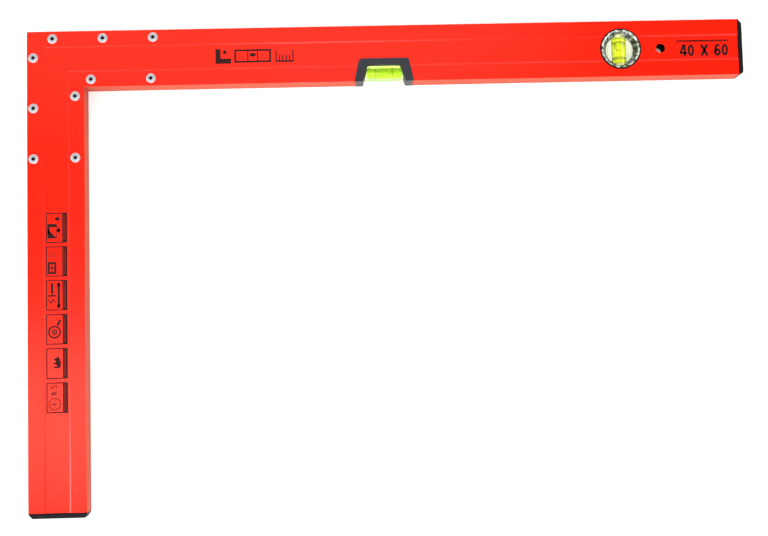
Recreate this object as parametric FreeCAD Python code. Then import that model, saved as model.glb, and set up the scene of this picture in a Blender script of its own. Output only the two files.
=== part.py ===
import FreeCAD, Part
import math
import os

from FreeCAD import Vector

# Builders' square with two spirit vials, lying on its back with its front face up.
# While it is modelled, X runs along the long arm from the outer corner, the short arm
# runs towards -Y, and Z is 0 on the back face of the arms. All sizes are in millimetres.

# Arms, measured along their outer faces and without the end caps
long_arm_length = 600.0
short_arm_length = 400.0
arm_width = 48.0
arm_thickness = 18.0

# Extruded box section, the same in both arms
edge_wall = 2.0
face_wall = 2.2
section_radius = 0.5
cavity_radius = 0.8
band_start = 13.0
band_width = 22.0
band_recess = 0.4
band_slope = 1.2
mitre_gap = 0.1

# Rows of blind rivets. The first station is counted along the arm from the outer corner,
# and the side gap is left between a rivet's set end and the wall of the edge beside it.
outer_row_count = 3
inner_row_count = 2
long_outer_first = 21.5
long_outer_pitch = 42.0
long_outer_side_gap = 1.6
long_inner_first = 53.5
long_inner_pitch = 50.0
long_inner_side_gap = 1.6
short_outer_first = 22.5
short_outer_pitch = 42.75
short_outer_side_gap = 0.6
short_inner_first = 55.5
short_inner_pitch = 52.0
short_inner_side_gap = 2.9

# Blind rivets
rivet_head_radius = 4.0
rivet_head_height = 1.0
rivet_rim_height = 0.3
rivet_shank_radius = 2.0
rivet_hole_clearance = 0.05
rivet_bulb_radius = 2.9
rivet_tail_clearance = 1.2
mandrel_radius = 1.1
mandrel_clearance = 0.02
mandrel_recess = 2.0
mandrel_head_radius = 1.9
mandrel_head_height = 0.9

# Plates inside the corner, one behind each face
plate_thickness = 2.0
plate_end_margin = 14.0
plate_side_clearance = 0.3
plate_bend_radius = 0.8
plate_tip_radius = 2.0

# End caps
cap_thickness = 4.5
cap_rim = 0.8
cap_taper = 2.4
cap_corner_radius = 1.6
cap_plug_length = 12.0
cap_plug_wall = 1.6
cap_plug_clearance = 0.3
cap_rib_clearance = 0.05
cap_rib_width = 1.2

# Hanging hole, counted from the far end of the long arm
hang_hole_end_distance = 66.0
hang_hole_radius = 4.0

# Level vial, off the middle of the long arm by a little, with heights counted from its inner face
level_vial_offset = 0.8
level_bore_radius = 4.4
level_bore_rise = 0.4
level_bore_length = 28.8
level_ring_spacing = 14.0
level_bubble_length = 11.0
level_bubble_radius = 3.5
level_bubble_shift = 0.0
level_block_end_wall = 1.6
level_block_side_wall = 1.6
level_block_cover = 1.0
level_block_foot_wall = 1.0
level_block_crown = 0.8

# Two-part frame that holds the level vial in its notch
window_height = 13.5
window_rise = 0.6
window_flare = 4.2
window_corner_radius = 1.6
frame_end_cover = 2.2
frame_leg_wall = 4.0
frame_leg_flare = 4.0
frame_bar_height = 5.4
frame_block_seat = 0.4
frame_block_clearance = 0.15
frame_notch_clearance = 0.15
frame_lip = 1.0
frame_proud = 0.8
frame_bevel = 0.5
frame_corner_radius = 2.4
frame_pin_radius = 1.2
frame_pin_length = 3.0
frame_pin_clearance = 0.1
frame_pin_spacing = 24.0

# Plumb vial, set through both faces and counted from the far end of the long arm
plumb_vial_end_distance = 100.0
plumb_bore_radius = 4.4
plumb_bore_rise = 0.3
plumb_tube_wall = 2.0
plumb_tube_length = 26.4
plumb_ring_spacing = 12.8
plumb_bubble_length = 8.0
plumb_bubble_radius = 3.0
plumb_bubble_shift = 4.0
plumb_end_wall = 2.4
plumb_disc_margin = 0.3
plumb_disc_thickness = 5.0
bezel_disc_clearance = 0.15
bezel_wall = 1.1
bezel_ledge_width = 3.5
bezel_ledge_height = 0.8
bezel_hole_clearance = 0.2
bezel_lip = 1.1
bezel_lip_face = 1.8
bezel_proud = 0.7
bezel_bevel = 0.4

# Inside both vials
ring_thickness = 0.1
ring_width = 0.5
ring_clearance = 0.04
fluid_clearance = 0.03
plug_clearance = 0.02
bubble_axis_depth = 2.0

# Sizes that follow from those above
half_thickness = arm_thickness / 2
cavity_depth = arm_thickness - 2 * face_wall
arm_centre_line = -arm_width / 2
rivet_tail_length = cavity_depth / 2 - plate_thickness - rivet_tail_clearance
hang_hole_station = long_arm_length - hang_hole_end_distance
level_vial_station = long_arm_length / 2 - level_vial_offset
level_bore_end_radius = level_bore_radius - level_bore_rise
plumb_vial_station = long_arm_length - plumb_vial_end_distance
plumb_bore_end_radius = plumb_bore_radius - plumb_bore_rise
plumb_tube_radius = plumb_bore_radius + plumb_tube_wall
plumb_disc_radius = math.hypot(plumb_tube_length / 2, plumb_tube_radius) + plumb_disc_margin
fluid_gap = ring_clearance + ring_thickness + fluid_clearance
cutter_margin = 2.0


def rounded_wire(corners):
    """Closed outline in the XY plane from corners given as (x, y) or (x, y, radius)."""
    count = len(corners)
    stops = []
    for i, corner in enumerate(corners):
        point = Vector(corner[0], corner[1], 0)
        radius = corner[2] if len(corner) > 2 else 0.0
        if radius == 0:
            stops.append((point, point, point))
            continue
        to_last = Vector(*corners[i - 1][:2], 0) - point
        to_next = Vector(*corners[(i + 1) % count][:2], 0) - point
        half_angle = to_last.getAngle(to_next) / 2
        to_last.normalize()
        to_next.normalize()
        inward = to_last + to_next
        inward.normalize()
        reach = radius / math.tan(half_angle)
        centre = point + inward * (radius / math.sin(half_angle))
        stops.append((point + to_last * reach, centre - inward * radius, point + to_next * reach))
    edges = []
    for i, (start, middle, end) in enumerate(stops):
        if start != end:
            edges.append(Part.Arc(start, middle, end).toShape())
        following = stops[(i + 1) % count][0]
        edges.append(Part.LineSegment(end, following).toShape())
    return Part.Wire(edges)


def prism(wire, low, high):
    """Upright solid on an outline of the XY plane, from height low to height high."""
    solid = Part.Face(wire).extrude(Vector(0, 0, high - low))
    solid.translate(Vector(0, 0, low))
    return solid


def taper(low_wire, high_wire, low, high):
    """Upright solid whose straight sides lean from one outline to another."""
    base = low_wire.copy()
    base.translate(Vector(0, 0, low))
    top = high_wire.copy()
    top.translate(Vector(0, 0, high))
    return Part.makeLoft([base, top], True, True)


def cylinder(radius, low, high, x=0.0, y=0.0):
    return Part.makeCylinder(radius, high - low, Vector(x, y, low))


def turned(profile):
    """Solid of revolution about Z from a profile given as (radius, height)."""
    points = [Vector(radius, 0, height) for radius, height in profile]
    face = Part.Face(Part.makePolygon(points + points[:1]))
    return face.revolve(Vector(0, 0, 0), Vector(0, 0, 1), 360)


def to_short_arm(shape):
    """Image in the mitre plane, which carries anything on the long arm to the short one."""
    return shape.mirror(Vector(0, 0, 0), Vector(1, 1, 0))


def to_back(shape):
    """Image in the plane half way through the arms, from the front face to the back."""
    return shape.mirror(Vector(0, 0, half_thickness), Vector(0, 0, 1))


# Box section and arms


def section_wire():
    """Outer outline of the section: x counts from the outer face, y from the back face."""
    width, depth, radius = arm_width, arm_thickness, section_radius
    band_end = band_start + band_width
    floor_start = band_start + band_slope
    floor_end = band_end - band_slope
    return rounded_wire([
        (0, 0, radius),
        (band_start, 0),
        (floor_start, band_recess),
        (floor_end, band_recess),
        (band_end, 0),
        (width, 0, radius),
        (width, depth, radius),
        (band_end, depth),
        (floor_end, depth - band_recess),
        (floor_start, depth - band_recess),
        (band_start, depth),
        (0, depth, radius),
    ])


def box_wire(inset_side, inset_face, radius):
    """Rectangle inside the section, in from its edges and its faces, with round corners."""
    far_side = arm_width - inset_side
    far_face = arm_thickness - inset_face
    return rounded_wire([
        (inset_side, inset_face, radius),
        (far_side, inset_face, radius),
        (far_side, far_face, radius),
        (inset_side, far_face, radius),
    ])


def lay_down(solid):
    """Turns an upright prism on a section outline so that it runs along the long arm."""
    solid.rotate(Vector(0, 0, 0), Vector(1, 1, 1), 120)
    return solid.mirror(Vector(0, 0, 0), Vector(0, 1, 0))


def along_arm(wire, start, end):
    """Prism on a section outline between two stations of the long arm."""
    return lay_down(prism(wire, start, end))


def rivet_row(first, pitch, count, side_gap):
    """Places of a row as (station, distance from the edge face beside it)."""
    inset = edge_wall + rivet_bulb_radius + side_gap
    return [(first + i * pitch, inset) for i in range(count)]


def rivet_places(outer_row, inner_row):
    """Centres of an arm's rivets, as on the long arm."""
    outer = [(station, -inset) for station, inset in outer_row]
    inner = [(station, inset - arm_width) for station, inset in inner_row]
    return outer + inner


def arm_envelope(length):
    """The arm as a solid bar of the same outside shape, square at both ends."""
    return along_arm(section_wire(), 0, length)


def arm_profile(length, places):
    """Hollow arm with its mitred end and the rivet holes through both faces."""
    bar = arm_envelope(length)
    cavity = along_arm(box_wire(edge_wall, face_wall, cavity_radius), -cutter_margin, length + cutter_margin)
    offset = mitre_gap / math.sqrt(2)
    reach = arm_width + cutter_margin
    mitre = rounded_wire([
        (offset - cutter_margin, cutter_margin),
        (offset + reach, -reach),
        (offset - cutter_margin, -reach),
    ])
    cutters = [cavity, prism(mitre, -cutter_margin, arm_thickness + cutter_margin)]
    hole_radius = rivet_shank_radius + rivet_hole_clearance
    for x, y in places:
        cutters.append(cylinder(hole_radius, -cutter_margin, arm_thickness + cutter_margin, x, y))
    return bar.cut(cutters)


def corner_plate(places):
    """L-shaped plate against the inside of the front wall, across the mitre."""
    near = edge_wall + cavity_radius + plate_side_clearance
    far = arm_width - near
    plate_length = max(max(x, -y) for x, y in places) + plate_end_margin
    outline = rounded_wire([
        (near, -near),
        (plate_length, -near, plate_tip_radius),
        (plate_length, -far, plate_tip_radius),
        (far, -far, plate_bend_radius),
        (far, -plate_length, plate_tip_radius),
        (near, -plate_length, plate_tip_radius),
    ])
    top = arm_thickness - face_wall
    hole_radius = rivet_shank_radius + rivet_hole_clearance
    holes = [
        cylinder(hole_radius, top - plate_thickness - cutter_margin, top + cutter_margin, x, y)
        for x, y in places
    ]
    return prism(outline, top - plate_thickness, top).cut(holes)


# Blind rivets


def rivet_body():
    """Hollow body of a set rivet: domed head, shank through wall and plate, and bulb."""
    bore = mandrel_radius + mandrel_clearance
    grip = face_wall + plate_thickness
    tail = grip + rivet_tail_length - mandrel_head_height
    return turned([
        (bore, rivet_head_height),
        (rivet_head_radius, rivet_rim_height),
        (rivet_head_radius, 0),
        (rivet_shank_radius, 0),
        (rivet_shank_radius, -grip),
        (rivet_bulb_radius, -grip),
        (mandrel_head_radius, -tail),
        (bore, -tail),
    ])


def rivet_mandrel():
    """Broken-off mandrel that stays inside, with its head under the bulb."""
    grip = face_wall + plate_thickness
    tip = grip + rivet_tail_length
    neck = tip - mandrel_head_height
    return turned([
        (0, rivet_head_height - mandrel_recess),
        (mandrel_radius, rivet_head_height - mandrel_recess),
        (mandrel_radius, -neck),
        (mandrel_head_radius, -neck),
        (mandrel_head_radius, -tip),
        (0, -tip),
    ])


def set_on_front(piece, places):
    """Copies of a fastener on the front face, at the given places of the long arm."""
    copies = []
    for x, y in places:
        copy = piece.copy()
        copy.translate(Vector(x, y, arm_thickness))
        copies.append(copy)
    return Part.makeCompound(copies)


# End caps


def end_cap():
    """Cap on the end of the long arm: tapered head and a hollow ribbed plug."""
    seat = long_arm_length
    brim = seat + cap_rim
    low = box_wire(0, 0, section_radius)
    head = along_arm(low, seat, brim)
    high = box_wire(cap_taper, cap_taper, cap_corner_radius)
    crown = lay_down(taper(low, high, brim, seat + cap_thickness))
    side = edge_wall + cap_plug_clearance
    face = face_wall + cap_plug_clearance
    plug = along_arm(box_wire(side, face, cavity_radius), seat - cap_plug_length, seat)
    inner_side = side + cap_plug_wall
    inner_face = face + cap_plug_wall
    hollow = along_arm(
        box_wire(inner_side, inner_face, cavity_radius), seat - cap_plug_length - cutter_margin, seat
    )
    return head.fuse([crown, plug.cut(hollow)] + cap_ribs(seat)).removeSplitter()


def cap_ribs(seat):
    """Crush ribs along the plug, two on each of its four sides."""
    side = edge_wall + cap_rib_clearance
    face = face_wall + cap_rib_clearance
    depth = cap_plug_clearance - cap_rib_clearance + cap_plug_wall / 2
    ribs = []
    for share in (0.25, 0.75):
        y = -arm_width * share - cap_rib_width / 2
        z = arm_thickness / 2 + cavity_depth * (share - 0.5) - cap_rib_width / 2
        for low in (face, arm_thickness - face - depth):
            size = Vector(cap_plug_length, cap_rib_width, depth)
            ribs.append(Part.makeBox(*size, Vector(seat - cap_plug_length, y, low)))
        for low in (-side - depth, side - arm_width):
            size = Vector(cap_plug_length, depth, cap_rib_width)
            ribs.append(Part.makeBox(*size, Vector(seat - cap_plug_length, low, z)))
    return ribs


# Vials, modelled along X about the origin with the bubble on top


def barrel(length, middle_radius, end_radius):
    """Bore of a vial, a little wider in its middle."""
    half = length / 2
    start = Vector(-half, 0, 0)
    end = Vector(half, 0, 0)
    start_rim = Vector(-half, 0, end_radius)
    end_rim = Vector(half, 0, end_radius)
    wire = Part.Wire([
        Part.LineSegment(start, start_rim).toShape(),
        Part.Arc(start_rim, Vector(0, 0, middle_radius), end_rim).toShape(),
        Part.LineSegment(end_rim, end).toShape(),
        Part.LineSegment(end, start).toShape(),
    ])
    return Part.Face(wire).revolve(Vector(0, 0, 0), Vector(1, 0, 0), 360)


def barrel_radius(station, length, middle_radius, end_radius):
    """Radius of the bore at a distance from its middle."""
    rise = middle_radius - end_radius
    sweep = (length * length / 4 + rise * rise) / (2 * rise)
    return middle_radius - sweep + math.sqrt(sweep * sweep - station * station)


def bubble(length, radius, shift, height):
    """Air bubble: a round bar along the vial with a ball at each end."""
    half = length / 2 - radius
    start = Vector(shift - half, 0, height)
    end = Vector(shift + half, 0, height)
    bar = Part.makeCylinder(radius, 2 * half, start, Vector(1, 0, 0))
    return bar.fuse([Part.makeSphere(radius, start), Part.makeSphere(radius, end)])


def vial_fluid(length, middle_radius, end_radius, air):
    fluid = barrel(length - 2 * fluid_gap, middle_radius - fluid_gap, end_radius - fluid_gap)
    return fluid.cut(air)


def vial_rings(spacing, length, middle_radius, end_radius):
    """Two gauge rings against the wall of the bore."""
    station = spacing / 2
    outer = barrel_radius(station + ring_width / 2, length, middle_radius, end_radius) - ring_clearance
    inner = outer - ring_thickness
    rings = []
    for middle in (-station, station):
        start = Vector(middle - ring_width / 2, 0, 0)
        ring = Part.makeCylinder(outer, ring_width, start, Vector(1, 0, 0))
        rings.append(ring.cut(Part.makeCylinder(inner, ring_width, start, Vector(1, 0, 0))))
    return Part.makeCompound(rings)


def vial_plug(length, end_radius, wall):
    """Plug that closes the filling end of the bore."""
    radius = end_radius - plug_clearance
    return Part.makeCylinder(radius, wall, Vector(length / 2, 0, 0), Vector(1, 0, 0))


def filling_hole(length, end_radius, wall):
    """Way out of the bore through the end wall, for the plug."""
    return Part.makeCylinder(end_radius, wall + cutter_margin, Vector(length / 2, 0, 0), Vector(1, 0, 0))


# Level vial and its frame


def level_place(shape):
    """Carries a vial piece from the origin to the level vial's place."""
    block_top = window_height + frame_block_seat - frame_block_clearance
    axis_height = block_top - level_block_cover - level_bore_radius
    shape.translate(Vector(level_vial_station, axis_height - arm_width, half_thickness))
    return shape


def level_block_length():
    return level_bore_length + 2 * level_block_end_wall


def level_block_depth():
    return 2 * (level_bore_radius + level_block_side_wall)


def level_block():
    """Clear block with a flat top, a crowned foot and the bore along its length."""
    half = level_block_length() / 2
    top = level_bore_radius + level_block_cover
    foot = -level_bore_radius - level_block_foot_wall
    end_foot = foot + level_block_crown
    depth = level_block_depth()
    corners = [(-half, end_foot), (-half, top), (half, top), (half, end_foot)]
    points = [Vector(x, y, 0) for x, y in corners]
    edges = [Part.LineSegment(points[i], points[i + 1]).toShape() for i in range(3)]
    edges.append(Part.Arc(points[3], Vector(0, foot, 0), points[0]).toShape())
    block = prism(Part.Wire(edges), -depth / 2, depth / 2)
    bore = barrel(level_bore_length, level_bore_radius, level_bore_end_radius)
    hole = filling_hole(level_bore_length, level_bore_end_radius, level_block_end_wall)
    return block.cut([bore, hole])


def notch_wire(grow, foot):
    """Outline of the notch, grown sideways and upwards, down to a height for its foot."""
    notch_height = window_height + frame_bar_height
    top_half = level_block_length() / 2 + frame_leg_wall + grow
    top = notch_height + grow
    foot_half = top_half + frame_leg_flare * (top - foot) / notch_height
    corner = frame_corner_radius + grow
    x = level_vial_station
    return rounded_wire([
        (x - foot_half, foot - arm_width),
        (x - top_half, top - arm_width, corner),
        (x + top_half, top - arm_width, corner),
        (x + foot_half, foot - arm_width),
    ])


def window_wire():
    """Outline of the window under the bar, with a slightly arched top, open at its foot."""
    top_half = level_block_length() / 2 - frame_end_cover
    foot = -cutter_margin
    foot_half = top_half + window_flare * (window_height - foot) / window_height
    x = level_vial_station
    return rounded_wire([
        (x - foot_half, foot - arm_width),
        (x - top_half, window_height - arm_width, window_corner_radius),
        (x + top_half, window_height - arm_width, window_corner_radius),
        (x + foot_half, foot - arm_width),
    ])


def notch_cutter():
    return prism(notch_wire(0, -cutter_margin), -cutter_margin, arm_thickness + cutter_margin)


def frame_half(envelope):
    """Front half of the frame: lip on the face, arch in the notch, pocket for the block."""
    body = prism(notch_wire(-frame_notch_clearance, 0), half_thickness, arm_thickness)
    outline = notch_wire(frame_lip, 0)
    top = arm_thickness + frame_proud
    lip = prism(outline, arm_thickness - band_recess, top - frame_bevel)
    edge = taper(outline, notch_wire(frame_lip - frame_bevel, 0), top - frame_bevel, top)
    skin = envelope.cut(notch_cutter())
    arch = body.fuse([lip, edge]).cut([skin, window_cutter(), block_pocket()])
    return arch.removeSplitter()


def window_cutter():
    """Window through both halves, its top raised in the middle by a shallow arc."""
    low, high = -cutter_margin, arm_thickness + cutter_margin
    window = prism(window_wire(), low, high)
    half = level_block_length() / 2 - frame_end_cover - window_corner_radius
    x = level_vial_station
    y = window_height - arm_width
    left = Vector(x - half, y, 0)
    right = Vector(x + half, y, 0)
    arc = Part.Arc(left, Vector(x, y + window_rise, 0), right).toShape()
    chord = Part.LineSegment(right, left).toShape()
    return window.fuse(prism(Part.Wire([arc, chord]), low, high))


def block_pocket():
    """Room for the vial block between the two halves, with its clearance."""
    clearance = frame_block_clearance
    half_length = level_block_length() / 2 + clearance
    half_depth = level_block_depth() / 2 + clearance
    top = window_height + frame_block_seat
    x = level_vial_station
    corner = Vector(x - half_length, -arm_width, half_thickness - half_depth)
    return Part.makeBox(2 * half_length, top, 2 * half_depth, corner)


def frame_pins(radius, length):
    """Pins between the two halves, in the bar above the vial."""
    y = window_height + frame_block_seat + (frame_bar_height - frame_block_seat) / 2 - arm_width
    pins = []
    for side in (-0.5, 0.5):
        x = level_vial_station + side * frame_pin_spacing
        pins.append(cylinder(radius, half_thickness - length, half_thickness, x, y))
    return pins


# Plumb vial and its bezels


def plumb_place(shape):
    """Turns a vial piece across the arm and carries it to the plumb vial's place."""
    shape.rotate(Vector(0, 0, 0), Vector(0, 0, 1), 90)
    shape.translate(Vector(plumb_vial_station, arm_centre_line, half_thickness))
    return shape


def plumb_bore_length():
    return plumb_tube_length - 2 * plumb_end_wall


def plumb_block():
    """Clear disc with two flats and a thicker tube across it, which holds the bore."""
    disc = cylinder(plumb_disc_radius, -plumb_disc_thickness / 2, plumb_disc_thickness / 2)
    span = 2 * plumb_disc_radius
    flats = Part.makeBox(
        plumb_tube_length, span, span, Vector(-plumb_tube_length / 2, -span / 2, -span / 2)
    )
    start = Vector(-plumb_tube_length / 2, 0, 0)
    tube = Part.makeCylinder(plumb_tube_radius, plumb_tube_length, start, Vector(1, 0, 0))
    bore = barrel(plumb_bore_length(), plumb_bore_radius, plumb_bore_end_radius)
    hole = filling_hole(plumb_bore_length(), plumb_bore_end_radius, plumb_end_wall)
    return disc.common(flats).fuse(tube).cut([bore, hole]).removeSplitter()


def bezel_sleeve_radius():
    return plumb_disc_radius + bezel_disc_clearance + bezel_wall


def bezel_hole_radius():
    return bezel_sleeve_radius() + bezel_hole_clearance


def plumb_bezel(envelope):
    """Front bezel: lip on the face, funnel down to a ledge on the disc, and sleeve to the middle."""
    inner = plumb_disc_radius + bezel_disc_clearance
    throat = inner - bezel_ledge_width
    sleeve = bezel_sleeve_radius()
    lip = bezel_hole_radius() + bezel_lip
    mouth = lip - bezel_bevel - bezel_lip_face
    top = arm_thickness + bezel_proud
    lip_low = arm_thickness - band_recess
    ledge = half_thickness + plumb_disc_thickness / 2
    ring = turned([
        (inner, half_thickness),
        (inner, ledge),
        (throat, ledge),
        (throat, ledge + bezel_ledge_height),
        (mouth, top),
        (lip - bezel_bevel, top),
        (lip, top - bezel_bevel),
        (lip, lip_low),
        (sleeve, lip_low),
        (sleeve, half_thickness),
    ])
    ring.translate(Vector(plumb_vial_station, arm_centre_line, 0))
    skin = envelope.cut(bezel_hole())
    return ring.cut([skin, tube_room()])


def bezel_hole():
    """Round hole for the bezels through both faces of the arm."""
    low, high = -cutter_margin, arm_thickness + cutter_margin
    return cylinder(bezel_hole_radius(), low, high, plumb_vial_station, arm_centre_line)


def tube_room():
    """Room for the ends of the tube, notched out of the ledges with a clearance."""
    half_length = plumb_tube_length / 2 + bezel_disc_clearance
    radius = plumb_tube_radius + bezel_disc_clearance
    start = Vector(-half_length, 0, 0)
    return plumb_place(Part.makeCylinder(radius, 2 * half_length, start, Vector(1, 0, 0)))


# Assembly


def build_pieces():
    long_places = rivet_places(
        rivet_row(long_outer_first, long_outer_pitch, outer_row_count, long_outer_side_gap),
        rivet_row(long_inner_first, long_inner_pitch, inner_row_count, long_inner_side_gap),
    )
    short_places = rivet_places(
        rivet_row(short_outer_first, short_outer_pitch, outer_row_count, short_outer_side_gap),
        rivet_row(short_inner_first, short_inner_pitch, inner_row_count, short_inner_side_gap),
    )
    mirrored_places = [(-y, -x) for x, y in short_places]
    low, high = -cutter_margin, arm_thickness + cutter_margin
    openings = [
        notch_cutter(),
        bezel_hole(),
        cylinder(hang_hole_radius, low, high, hang_hole_station, arm_centre_line),
    ]
    envelope = arm_envelope(long_arm_length)
    plate = corner_plate(long_places + mirrored_places)
    cap = end_cap()
    short_cap = cap.copy()
    short_cap.translate(Vector(short_arm_length - long_arm_length, 0, 0))
    front_frame = frame_half(envelope)
    pins = frame_pins(frame_pin_radius, frame_pin_length)
    sockets = frame_pins(frame_pin_radius + frame_pin_clearance, frame_pin_length + frame_pin_clearance)
    bezel = plumb_bezel(envelope)

    pieces = {
        "long_arm_profile": arm_profile(long_arm_length, long_places).cut(openings),
        "short_arm_profile": to_short_arm(arm_profile(short_arm_length, short_places)),
        "front_corner_plate": plate,
        "back_corner_plate": to_back(plate),
        "long_arm_end_cap": cap,
        "short_arm_end_cap": to_short_arm(short_cap),
        "level_vial_front_frame": front_frame.fuse(pins).removeSplitter(),
        "level_vial_back_frame": to_back(front_frame).cut(sockets),
        "plumb_vial_front_bezel": bezel,
        "plumb_vial_back_bezel": to_back(bezel),
    }

    long_bodies = set_on_front(rivet_body(), long_places)
    short_bodies = to_short_arm(set_on_front(rivet_body(), short_places))
    mandrels = Part.makeCompound([
        set_on_front(rivet_mandrel(), long_places),
        to_short_arm(set_on_front(rivet_mandrel(), short_places)),
    ])
    pieces["long_arm_front_rivets"] = long_bodies
    pieces["short_arm_front_rivets"] = short_bodies
    pieces["front_rivet_mandrels"] = mandrels
    pieces["long_arm_back_rivets"] = to_back(long_bodies)
    pieces["short_arm_back_rivets"] = to_back(short_bodies)
    pieces["back_rivet_mandrels"] = to_back(mandrels)

    level_bore = (level_bore_length, level_bore_radius, level_bore_end_radius)
    level_air = bubble(
        level_bubble_length, level_bubble_radius, level_bubble_shift, level_bore_radius - bubble_axis_depth
    )
    pieces["level_vial_block"] = level_place(level_block())
    pieces["level_vial_fluid"] = level_place(vial_fluid(*level_bore, level_air))
    pieces["level_vial_gauge_rings"] = level_place(vial_rings(level_ring_spacing, *level_bore))
    pieces["level_vial_plug"] = level_place(
        vial_plug(level_bore_length, level_bore_end_radius, level_block_end_wall)
    )

    plumb_bore = (plumb_bore_length(), plumb_bore_radius, plumb_bore_end_radius)
    plumb_air = bubble(
        plumb_bubble_length, plumb_bubble_radius, plumb_bubble_shift, plumb_bore_radius - bubble_axis_depth
    )
    pieces["plumb_vial_block"] = plumb_place(plumb_block())
    pieces["plumb_vial_fluid"] = plumb_place(vial_fluid(*plumb_bore, plumb_air))
    pieces["plumb_vial_gauge_rings"] = plumb_place(vial_rings(plumb_ring_spacing, *plumb_bore))
    pieces["plumb_vial_plug"] = plumb_place(
        vial_plug(plumb_bore_length(), plumb_bore_end_radius, plumb_end_wall)
    )
    return pieces


def main():
    os.makedirs("parts", exist_ok=True)
    whole_length = long_arm_length + cap_thickness
    whole_width = short_arm_length + cap_thickness
    lift = max(rivet_head_height, frame_proud, bezel_proud)
    to_row = Vector(-whole_length / 2, whole_width / 2, lift)
    for name, piece in build_pieces().items():
        piece.translate(to_row)
        if not piece.isValid():
            raise ValueError("the shape of " + name + " is not valid")
        piece.exportStep(os.path.join("parts", name + ".step"))
        solids = len(piece.Solids)
        print(f"{name}: {solids} solid(s), {piece.Volume:.1f} mm3")


main()
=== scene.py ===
# %% [markdown]
# # An angle level, dressed around its CAD frame
#
# The real tool is an L of two red aluminium box profiles, mitred and riveted at the corner. One
# bubble vial sits in a notch of the long arm, a second one in a round hole near its end.
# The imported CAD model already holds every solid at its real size, so this lesson never moves or
# resizes one. It adds what a CAD solid leaves out: the finish of each surface, the domed
# heads of the rivets, the liquid that wets the walls of the vials, and the print.

# %% Load the frame
import math

import bmesh
import bpy
from mathutils import Matrix, Vector


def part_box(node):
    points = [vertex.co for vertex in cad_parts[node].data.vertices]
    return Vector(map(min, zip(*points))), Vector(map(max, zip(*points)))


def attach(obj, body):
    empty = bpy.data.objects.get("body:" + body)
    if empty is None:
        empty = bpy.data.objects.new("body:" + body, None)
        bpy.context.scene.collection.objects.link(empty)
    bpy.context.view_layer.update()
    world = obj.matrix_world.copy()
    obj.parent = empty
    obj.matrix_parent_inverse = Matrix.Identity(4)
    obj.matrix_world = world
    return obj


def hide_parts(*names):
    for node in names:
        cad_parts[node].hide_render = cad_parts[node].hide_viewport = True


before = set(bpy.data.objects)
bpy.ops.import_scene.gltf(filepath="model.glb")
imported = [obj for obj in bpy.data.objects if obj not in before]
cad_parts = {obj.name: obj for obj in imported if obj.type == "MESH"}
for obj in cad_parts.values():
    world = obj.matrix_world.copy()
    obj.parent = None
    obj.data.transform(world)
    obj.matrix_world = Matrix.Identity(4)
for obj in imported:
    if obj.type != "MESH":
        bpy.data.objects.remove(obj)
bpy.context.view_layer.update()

# %% [markdown]
# ## Where things are
#
# Blender works in metres here, and the sizes of a hand tool are easier to read in millimetres, so
# a length is written as a number times `mm`. Every place starts from the outer corner
# of the square, and that corner is read from the boxes of the two arms and not typed in. A place
# on an arm is a distance along it and a distance across it, both from the outer corner.

# %% Places on the two arms
mm = 0.001
long_low, long_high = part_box("long_arm_profile")
short_low, short_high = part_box("short_arm_profile")
outer_corner = Vector((short_low.x, long_high.y, 0.0))
front_face = long_high.z
back_face = long_low.z
middle_height = (front_face + back_face) / 2
arm_width = long_high.y - long_low.y


def on_long_arm(along, across):
    return outer_corner + Vector((along, -across, 0.0))


def on_short_arm(along, across):
    return outer_corner + Vector((across, -along, 0.0))


print("arms", round((long_high.x - outer_corner.x) / mm, 1), "and",
      round((outer_corner.y - short_low.y) / mm, 1), "mm long,",
      round(arm_width / mm, 1), "mm wide")

# %% [markdown]
# ## Small helpers for materials
#
# Every finish is a Principled shader with a few procedural nodes in front of it. All patterns
# read Object coordinates: each object sits at the origin, so these are metres in the frame
# of the whole tool, and a scratch or a grain stays on the metal from any view. The helpers only
# save typing: they add a node, make noise of a real size, stretch it over a range, mix two
# colours or two values by a mask, and turn a pattern into relief. A value that goes into
# a node may be a constant or the output of another node.

# %% Material helpers
def new_finish(name, colour=None, **sockets):
    """A material, its node tree and its Principled shader, which gets the constant values."""
    material = bpy.data.materials.new(name)
    material.use_nodes = True
    tree = material.node_tree
    shader = tree.nodes["Principled BSDF"]
    if colour is not None:
        shader.inputs["Base Color"].default_value = (*colour, 1.0)
        material.diffuse_color = (*colour, 1.0)
    for socket, value in sockets.items():
        shader.inputs[socket.replace("_", " ")].default_value = value
    return material, tree, shader


def add_node(tree, kind, **settings):
    """A new node of a kind, with some of its own settings."""
    node = tree.nodes.new(kind)
    for name, value in settings.items():
        setattr(node, name, value)
    return node


def feed(tree, value, socket):
    """Gives a socket a colour or a number, or links an output to it."""
    if isinstance(value, bpy.types.NodeSocket):
        tree.links.new(value, socket)
    elif isinstance(value, tuple):
        socket.default_value = (*value, 1.0)
    else:
        socket.default_value = value


def calculated(tree, operation, *values):
    """The result of one sum, product or comparison."""
    node = add_node(tree, "ShaderNodeMath", operation=operation)
    for socket, value in zip(node.inputs, values):
        feed(tree, value, socket)
    return node.outputs["Value"]


def grain(tree, cell, detail=2.0):
    """Noise from 0 to 1 whose cells measure (x, y, z) metres in the tool's own frame."""
    place = add_node(tree, "ShaderNodeTexCoord")
    mapping = add_node(tree, "ShaderNodeMapping")
    mapping.inputs["Scale"].default_value = [1.0 / size for size in cell]
    texture = add_node(tree, "ShaderNodeTexNoise")
    texture.inputs["Scale"].default_value = 1.0
    texture.inputs["Detail"].default_value = detail
    tree.links.new(place.outputs["Object"], mapping.inputs["Vector"])
    tree.links.new(mapping.outputs["Vector"], texture.inputs["Vector"])
    return texture.outputs["Fac"]


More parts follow.
